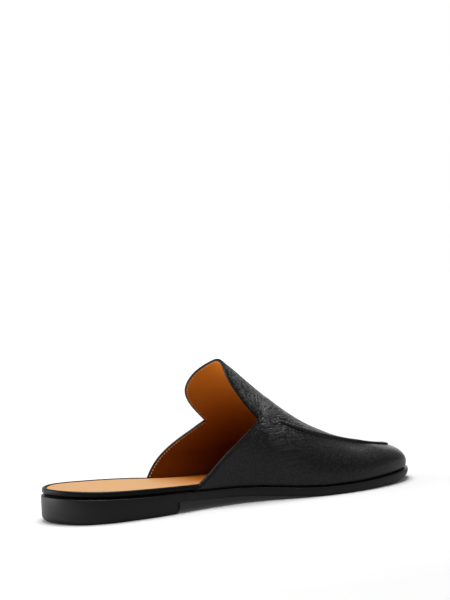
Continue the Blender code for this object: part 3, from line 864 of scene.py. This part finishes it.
def notch_fan(skin):
    """Turn and distance of each point round the nearer notch, along the leather, from straight
    forward, plus upwards, and how strong the calf's finer wrinkles are, which fan out by them."""
    turn, away, strong = (np.full(skin.turn.shape, value) for value in (0.0, LENGTH, 0.0))
    weakest, *level_turns = FAN_BELOW
    for side in (-1, 1):
        at = side * turn_of(topline_station(1.0, side))
        angle = rib_angle(at, np.array(1.0))
        notch = rib_point(at, angle)
        out = rib_normal(at, angle)
        forward = np.array([1.0, 0.0, 0.0])
        forward = unit(forward - (forward @ out) * out)
        up = np.cross(out, forward)
        up *= np.sign(up[2])
        offset = skin.point - notch
        gap = np.linalg.norm(offset, axis=-1)
        here = gap < away
        rise, ahead = offset[here] @ up, offset[here] @ forward
        true_turn = np.arctan2(rise, ahead)
        turn[here] = np.where(rise > 0.0, true_turn, rise / FAN_LEVEL)
        away[here] = gap[here]
        spread = eased(true_turn, *FAN_TURNS[:2]) * (1.0 - eased(true_turn, *FAN_TURNS[2:]))
        strong[here] = spread * between(weakest, 1.0, eased(true_turn, *level_turns))
    strong *= np.exp(-((away / FAN_REACH) ** 2)) * eased(away, *FAN_STARTS)
    return turn, away, strong


def make_upper_calf():
    skin = Skin(CALF_COLUMNS, UPPER_ROWS)
    vamp, foot = vamp_relief(skin), turned_foot(skin)
    seam, groove_shade, seam_highlight = seam_relief(skin)
    relief = seam + crease_relief(skin)
    outer = skin.at_depth(foot - vamp - relief)
    inner = skin.at_depth(foot - vamp + np.maximum(CALF, THINNEST - relief))
    for side in (outer, inner):
        side[0, :, 2] -= FOOT_REACH
    fan_turn, fan_run, fan = notch_fan(skin)
    behind = 1.0 - eased(station_of(skin.turn), *GRAIN_STATIONS)
    apron = GRAIN_APRON * eased(skin.column, *GRAIN_APRON_COLUMNS)
    pebbled = between(GRAIN_VAMP, 1.0, np.maximum(behind, apron))
    grain = between(GRAIN_LEAST, 1.0, eased(skin.column, *GRAIN_COLUMNS) * pebbled)
    grain *= 1.0 - GRAIN_FAN * fan
    values = {"groove_shade": groove_shade, "seam_highlight": seam_highlight, "grain": grain, "fan": fan, "fan_turn": fan_turn}
    values |= {"fan_run": fan_run * MM, "edge_run": from_topline(skin.point) * MM}
    calf = shell("upper_calf", outer, inner, pebbled_calf(), values)
    finished(calf, "upper_leather", "upper")


def make_upper_lining():
    skin = Skin(LINING_COLUMNS, LINING_ROWS, LINING_FOOT)
    depth = turned_foot(skin) + CALF + LINING_GAP - vamp_relief(skin)
    outer, inner = skin.at_depth(depth), skin.at_depth(depth + WALL - CALF - LINING_GAP)
    finished(shell("upper_lining", outer, inner, lining_calf()), "upper_leather")


def softened(values):
    """The values of the topline averaged over the notch's rounding to each side."""
    size = round(NOTCH_ROUNDING / TOPLINE_SPACING)
    padded = np.concatenate([values[:1].repeat(size, 0), values, values[-1:].repeat(size, 0)])
    kernel = np.hanning(2 * size + 3)[1:-1]
    kernel /= kernel.sum()
    return np.stack([np.convolve(padded[:, k], kernel, "valid") for k in range(values.shape[1])], -1)


def topline():
    """Even points along the topline from the medial to the lateral quarter, each with the
    directions along it, out of the leather and into the upper."""
    columns = np.array(columns_of(TOPLINE_COLUMNS))
    points, normals = [], []
    for side, order in ((-1, columns), (1, columns[-2::-1])):
        station = np.array([topline_station(c, side) for c in order])
        turn = side * turn_of(station)
        angle = rib_angle(turn, order)
        points.append(rib_point(turn, angle))
        normals.append(rib_normal(turn, angle))
    points, normals = np.concatenate(points), np.concatenate(normals)
    run = run_along(points)
    even = np.arange(0.0, run[-1], TOPLINE_SPACING)
    points, normals = (
        np.stack([np.interp(even, run, values[:, k]) for k in range(3)], -1)
        for values in (points, normals)
    )
    along = unit(softened(np.gradient(points, axis=0)))
    normals = unit(softened(normals))
    inward = unit(np.cross(normals, along))
    if inward[0][0] < 0.0:
        inward = -inward
    return points, along, normals, inward


def binding_section():
    """Corners of the folded edge's section: distance into the upper, and height out of the calf."""
    low, high = -WALL - BAND_INSIDE_PROUD, BAND_PROUD
    middle, half = (low + high) / 2.0, (high - low) / 2.0
    section = [(BAND + 0.05, -BAND_SUNK), (BAND, 0.5 * high), (BAND - BAND_BEVEL, high)]
    for turn in np.linspace(0.5, -0.5, 9) * math.pi:
        section.append((-BAND_LIP * math.cos(turn), middle + half * math.sin(turn)))
    return section + [(BAND_INSIDE, low + 0.05), (BAND_INSIDE + 0.1, -WALL + BAND_SUNK)]


def ring_faces(levels, count, first=0):
    """Faces between closed rings of points that follow each other, from this first point on."""
    faces = []
    for low in range(first, first + (levels - 1) * count, count):
        high = low + count
        for i in range(count):
            beside = (i + 1) % count
            faces.append([low + i, low + beside, high + beside, high + i])
    return faces


def rod_faces(levels, count, first=0):
    """The same, with a face over each end."""
    last = first + (levels - 1) * count
    ends = [[first + i for i in range(count)][::-1], [last + i for i in range(count)]]
    return ends + ring_faces(levels, count, first)


def swept(name, sections, material):
    """A closed solid through closed sections of one size."""
    faces = rod_faces(*sections.shape[:2])
    return mesh_object(name, sections.reshape(-1, 3), faces, material)


def make_topline_binding():
    points, _, normals, inward = (line[:, None] for line in topline())
    aside, up = np.array(binding_section())[None, :, :, None].transpose(2, 0, 1, 3)
    sections = points + aside * inward + up * normals
    binding = swept("topline_binding", sections, binding_calf())
    finished(binding, "upper_leather")


def stitch_row(name, centres, along, out, thick, material):
    """A row of stitches: short threads that rise out of the leather and dive back into it."""
    across = unit(np.cross(out, along))
    out = np.cross(along, across)
    centres, along, across, out = (line[:, None, None] for line in (centres, along, across, out))
    x = np.linspace(-1.0, 1.0, STITCH_RINGS)[:, None, None]
    turn = 2.0 * math.pi * np.arange(STITCH_SIDES)[:, None] / STITCH_SIDES
    girth = thick / 2.0 * np.sqrt(np.maximum(1.0 - 0.9 * x**4, 0.05))
    middle = centres + 0.5 * STITCH_LENGTH * x * along + thick * (0.25 - 0.75 * x**2) * out
    points = middle + girth * (np.cos(turn) * across + np.sin(turn) * out)
    each = STITCH_RINGS * STITCH_SIDES
    faces = []
    for first in range(0, len(points) * each, each):
        faces += rod_faces(STITCH_RINGS, STITCH_SIDES, first)
    return mesh_object(name, points.reshape(-1, 3), faces, material)


def make_topline_stitches():
    points, along, normals, inward = topline()
    every = round(STITCH_PITCH / TOPLINE_SPACING)
    pick = np.arange(every, len(points) - every, every)
    thick, proud = BAND_THREAD
    outside = points + (BAND + BAND_STITCH) * inward + proud * normals
    inside = points + LINING_STITCH * inward - (WALL + proud) * normals
    black = waxed_thread("black waxed thread", "050505", "0E0E0E")
    tan = waxed_thread("tan waxed thread", "DCA764", "F0CC9A")
    rows = (
        ("binding_stitches", outside, normals, black),
        ("lining_stitches", inside, -normals, tan),
    )
    for name, centres, out, thread in rows:
        row = stitch_row(name, centres[pick], along[pick], out[pick], thick, thread)
        finished(row, "upper_leather")


def make_seam_stitches():
    """Threads across the foot of the apron's raised seam, one for each of its puckers."""
    turns, run = seam_run()
    count = int(run[-1] / SEAM_STITCH)
    turn = np.interp((np.arange(1, count) + 0.5) * SEAM_STITCH, run, turns)
    seam, stretch = seam_place(turn)
    past, upper, height = SEAM_THREAD_ENDS
    normal = rib_normal(turn, seam)
    start = rib_point(turn, seam - (SEAM_HALF_WIDTH + past) / stretch)
    end = rib_point(turn, seam - upper * SEAM_HALF_WIDTH / stretch)
    end += height * seam_height(turn)[:, None] * normal
    lift = height * SHOULDER[0] * shoulder_strength(turn)[:, None] * normal
    start, end = start + lift, end + lift
    ahead = unit(end - start)
    beside = unit(rib_point(turn + TURN_STEP, seam) - rib_point(turn - TURN_STEP, seam))
    out = np.cross(beside, ahead)
    out *= np.sign((out * normal).sum(-1, keepdims=True))
    thick, proud = SEAM_THREAD
    centres = (start + end) / 2.0 + proud * out
    thread = waxed_thread("black seam thread", "141414", "2C2B2B")
    row = stitch_row("apron_stitches", centres, ahead, out, thick, thread)
    finished(row, "upper_leather")


def capped_rings(name, rings, material, crown=0.0):
    """A closed solid through rings round the outline, each end closed by a grid from side to side.
    The first ring is the top one, and crown lifts the middle of its cap where that is wide."""
    count = len(rings[0])
    half = count // 2
    points = np.concatenate(rings).tolist()
    faces = ring_faces(len(rings), count)
    share = np.linspace(0.0, 1.0, CAP_STEPS + 1)[:, None]
    for ring, lift in ((rings[0], crown), (rings[-1], 0.0)):
        grid = []
        for k in range(half + 1):
            start, end = ring[k], ring[-k % count]
            line = between(start, end, share)
            arch = lift * ease(np.linalg.norm(end - start) / CROWN_WIDTH)
            line[:, 2] += arch * 4.0 * share[:, 0] * (1.0 - share[:, 0])
            grid.append(line)
        first = len(points)
        points += np.concatenate(grid).tolist()
        index = first + np.arange((half + 1) * len(share)).reshape(half + 1, len(share))
        cells = [index[:-1, :-1], index[:-1, 1:], index[1:, 1:], index[1:, :-1]]
        faces += np.stack(cells, -1).reshape(-1, 4).tolist()
    return mesh_object(name, np.array(points), faces, material)


OUTLINE = np.linspace(-math.pi, math.pi, OUTLINE_STEPS, endpoint=False)
QUARTER_ROUND = [(math.cos(t), math.sin(t)) for t in np.linspace(0.0, math.pi / 2.0, 5)]


def rounded_top(inset, height, rounding):
    """Rings round the outline down over a rounded upper edge."""
    rings = []
    for cosine, sine in reversed(QUARTER_ROUND):
        down = rounding * (1.0 - sine)
        rings.append(edge_3d(OUTLINE, inset + rounding * (1.0 - cosine), height - down))
    return rings


def make_outsole():
    station = station_of(OUTLINE)
    ahead = ease((station - HEEL_BREAST) / EDGE_ROUNDING_STARTS)
    below = (EDGE_ROUNDING + TOE_EDGE_ROUNDING * eased(station, *FRONT)) * ahead
    rings = rounded_top(0.0, sole_top(OUTLINE), EDGE_ROUNDING)
    for cosine, sine in QUARTER_ROUND:
        height = sole_under(OUTLINE) + below * (1.0 - sine)
        rings.append(edge_3d(OUTLINE, below * (1.0 - cosine), height))
    outsole = capped_rings("outsole_leather", rings, burnished_edge())
    finished(outsole, "sole_leather", "outsole")


def make_heel():
    """A block under the outsole, its medial front corner cut away across."""
    cut_length, cut_width = HEEL_CORNER
    breast, corner = turn_of(HEEL_BREAST), turn_of(HEEL_BREAST - cut_length)
    medial = np.linspace(-math.pi, -corner, HEEL_STEPS)[1:]
    lateral = np.linspace(breast, math.pi, HEEL_STEPS + 1)
    turns = np.concatenate([medial, [-breast], lateral])
    cut = np.zeros((len(turns), 3))
    cut[len(medial), 1] = cut_width
    rounding = between(*HEEL_ROUNDING, ease(1.0 - station_of(turns) / HEEL_BACK))
    rings = [edge_3d(turns, 0.0 * turns, sole_under(turns)) + cut]
    for lean in np.linspace(0.0, math.pi / 2.0, 6):
        inset, height = rounding * (1.0 - math.cos(lean)), rounding * (1.0 - math.sin(lean))
        rings.append(edge_3d(turns, inset, height) + cut)
    heel = swept("heel_block", np.array(rings), burnished_edge())
    finished(heel, "heel_block", "heel")


def make_insole():
    front = QUARTER_EDGE[0].lateral
    ahead = eased(station_of(OUTLINE), front - INSOLE_NARROWING, front)
    inset = between(*INSOLE_INSET, ahead)
    low = sole_top(OUTLINE) + GAP
    rings = rounded_top(inset, low + INSOLE_THICK, INSOLE_ROUNDING)
    rings.append(edge_3d(OUTLINE, inset, low))
    insole = capped_rings("sock_insole", rings, sock_leather(), crown=-INSOLE_DISH)
    finished(insole, "insole_leather", "insole")


def make_rand():
    """The rolled binding of the footbed's edge, with its lower edge turned in to a dark groove."""
    medial_end = QUARTER_EDGE[0].medial + RAND_OVERLAP[0]
    lateral_end = QUARTER_EDGE[0].lateral + RAND_OVERLAP[1]
    turns = np.linspace(-turn_of(medial_end), turn_of(lateral_end) - 2.0 * math.pi, RAND_STEPS)
    low = sole_top(turns) + GAP
    station = station_of(turns)
    end = np.where(turns > -math.pi, medial_end, lateral_end)
    outer = RAND_INSET + RAND_END[0] * ease(1.0 - (end - station) / RAND_END[1])
    wide, high = RAND_ROUNDING
    corners = [(RAND_THICK, 0.0), *RAND_FACE]
    for t in np.linspace(0.2, 1.0, 5) * math.pi / 2.0:
        corners.append((wide * (1.0 - math.cos(t)), RAND_HEIGHT - high * (1.0 - math.sin(t))))
    corners.append((RAND_THICK, RAND_HEIGHT - 0.1))
    sections = np.stack([edge_3d(turns, outer + depth, low + up) for depth, up in corners], 1)
    rand = swept("rand_binding", sections, binding_calf())
    finished(rand, "rand_leather", "rand")


def studio_paper():
    """White paper sweep: matt and faintly uneven. It looks white, but throws back little light on
    the shoe; behind the shoe it is painted white, as painted light from behind, and away from the
    shoe it glows, as painted light, and runs out into the room."""
    paper, tree, place = new_material(
        "white studio paper", Roughness=0.9, Specular_IOR_Level=0.1, Emission_Color=(1.0,) * 4
    )
    fleck = add(tree, "TexNoise", {"Vector": place, "Scale": PAPER_CLOUDS})
    seen = add(tree, "LightPath", output="Is Camera Ray")
    # Behind the shoe the paper is painted white for all rays, as painted light from behind.
    behind = add(tree, "VectorMath", {0: place, 1: PAPER_BACK}, "Value", operation="DOT_PRODUCT")
    behind = add(tree, "MapRange", {"Value": behind, "From Min": 0.05, "From Max": 0.2})
    shown = add(tree, "Math", {0: behind, 1: seen}, operation="MAXIMUM")
    white = add(tree, "Mix", {0: fleck, 6: "E8E8E8", 7: "EDEDED"}, **OF_COLORS)
    color = add(tree, "Mix", {0: shown, 6: "9C9C9C", 7: white}, **OF_COLORS)
    away = add(tree, "VectorMath", {0: place}, "Value", operation="LENGTH")
    # The paper glows, faintly near the shoe and fully far off: painted light.
    glow = add(tree, "MapRange", {"Value": away, "From Min": 0.3, "From Max": 1.6, "To Min": 0.02})
    return dressed(paper, Base_Color=color, Emission_Strength=glow)


def make_studio():
    """A pale seamless floor in a white room, with broad soft lights above and to the left."""
    bpy.ops.mesh.primitive_plane_add(size=PAPER_SIZE, location=(0.0, 0.0, -PAPER_GAP))
    floor = bpy.context.object
    floor.name = "studio_floor"
    floor.data.materials.append(studio_paper())
    world = bpy.data.worlds.new("white room")
    bpy.context.scene.world = world
    world.use_nodes = True
    tree = world.node_tree
    seen = add(tree, "LightPath", output="Is Camera Ray")
    direction = add(tree, "TexCoord", output="Generated")
    across, up = (add(tree, "SeparateXYZ", {0: direction}, axis) for axis in "YZ")
    front, back = WALL_LIGHT
    behind = add(tree, "Math", {0: across, 1: 0.0}, operation="MAXIMUM")
    behind = add(tree, "Math", {0: behind, 1: 2.0}, operation="POWER")
    wall = add(tree, "Mix", {0: behind, 2: front, 3: back})
    room = add(tree, "Mix", {0: up, 2: wall, 3: CEILING_LIGHT})
    strength = add(tree, "Mix", {0: seen, 2: room, 3: 1.0})
    tree.nodes["Background"].inputs["Color"].default_value = (1.0, 1.0, 1.0, 1.0)
    tree.links.new(strength, tree.nodes["Background"].inputs["Strength"])
    for name, place, size, power in SOFTBOXES:
        lamp = bpy.data.lights.new(name, "AREA")
        lamp.size = size
        lamp.energy = power
        light = bpy.data.objects.new(name, lamp)
        light.location = place
        light.rotation_euler = (-Vector(place)).to_track_quat("-Z", "Y").to_euler()
        bpy.context.scene.collection.objects.link(light)


def make_camera():
    azimuth, elevation, roll = (math.radians(turn) for turn in CAMERA_TURNS)
    level = Vector((math.cos(azimuth), math.sin(azimuth), 0.0))
    away = Vector((math.sin(azimuth), -math.cos(azimuth), 0.0))
    back = away * math.cos(elevation) + Vector((0.0, 0.0, math.sin(elevation)))
    upright = back.cross(level)
    right = level * math.cos(roll) + upright * math.sin(roll)
    up = upright * math.cos(roll) - level * math.sin(roll)
    lens = bpy.data.cameras.new("camera")
    lens.lens = CAMERA_LENS
    lens.clip_start = 0.01
    camera = bpy.data.objects.new("camera", lens)
    place = Matrix((right, up, back)).transposed().to_4x4()
    place.translation = placed(CAMERA_PLACE)
    camera.matrix_world = place
    bpy.context.scene.collection.objects.link(camera)
    bpy.context.scene.camera = camera


make_camera()
make_studio()
make_upper_calf()
make_upper_lining()
make_topline_binding()
make_topline_stitches()
make_seam_stitches()
make_insole()
make_rand()
make_outsole()
make_heel()
bpy.context.scene.view_settings.view_transform = "Standard"
